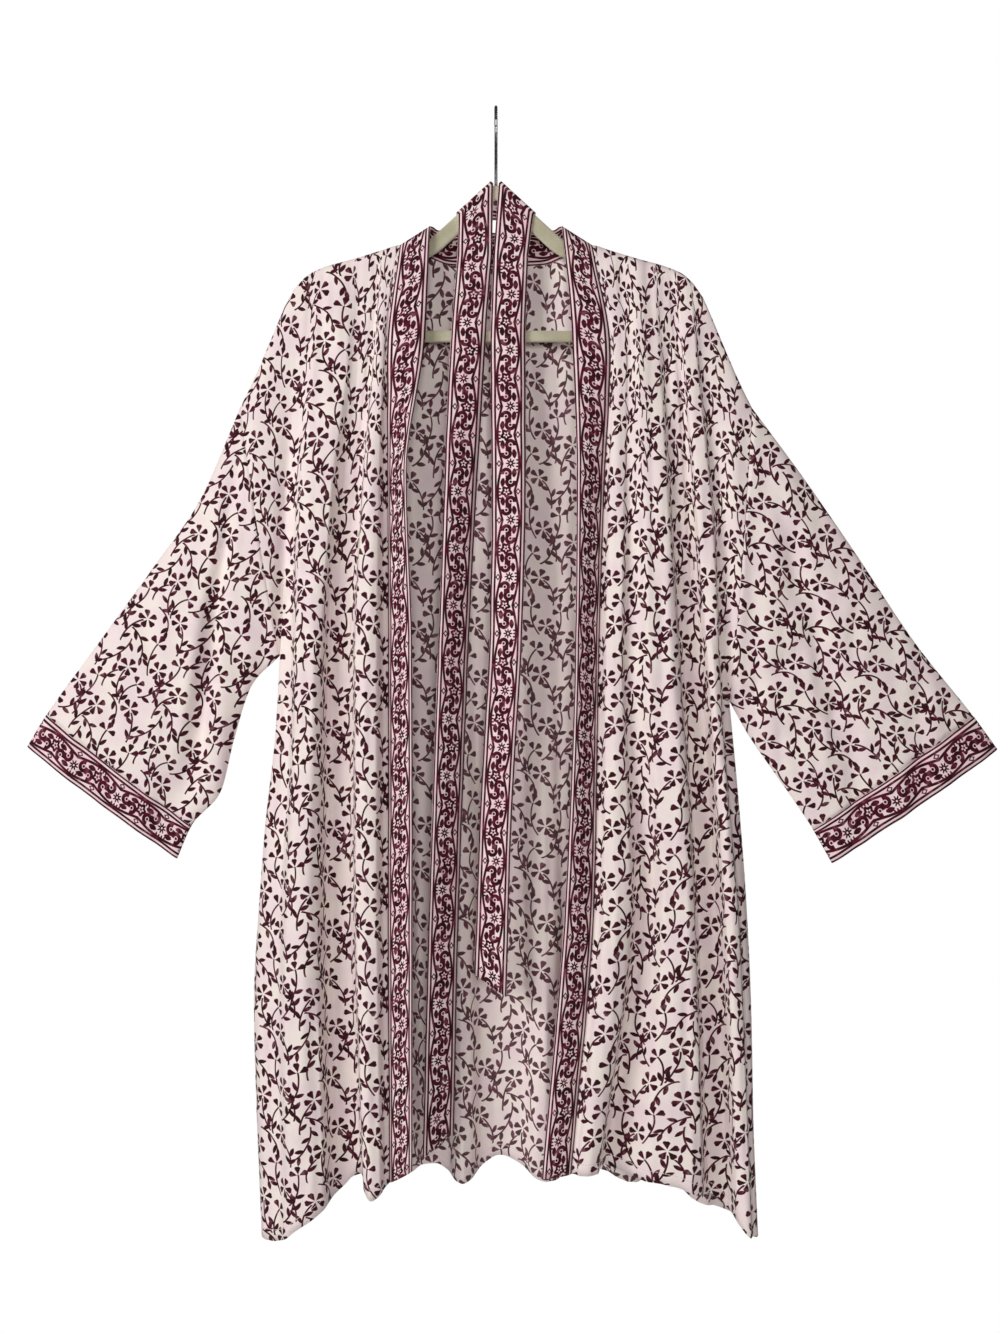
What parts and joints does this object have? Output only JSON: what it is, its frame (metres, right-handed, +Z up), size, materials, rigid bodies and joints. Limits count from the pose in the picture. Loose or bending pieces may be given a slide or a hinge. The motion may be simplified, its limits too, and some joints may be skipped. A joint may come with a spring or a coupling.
{
  "type": "kimono robe on a hanger",
  "caption": "Open-front cotton kimono robe with printed bands, cuffs and a belt, hanging on a slim hanger with a wire hook.",
  "frame": {"origin": "where a rail lies, at the inside top of the hook", "axes": "+Z up, -Y out of the front of the robe, +X to the right as seen from the front, along the rail"},
  "size_m": [1.0666, 0.0885, 1.2373],
  "materials": {
    "printed_cotton": "matt pale cotton with a dark red sprig print",
    "border_cotton": "matt cotton with a dense dark red border print",
    "hanger_flock": "matt khaki flocked surface",
    "hook_steel": "plain bright steel wire"
  },
  "bodies": {
    "root": {"back_panel": "printed_cotton", "front_left": "printed_cotton", "front_right": "printed_cotton", "sleeve_left": "printed_cotton", "sleeve_right": "printed_cotton", "cuff_left": "border_cotton", "cuff_right": "border_cotton", "band_left": "border_cotton", "band_right": "border_cotton", "belt_left": "border_cotton", "belt_loop": "border_cotton", "belt_right": "border_cotton", "hanger_frame": "hanger_flock", "hanger_hook": "hook_steel"}
  },
  "joints": []
}
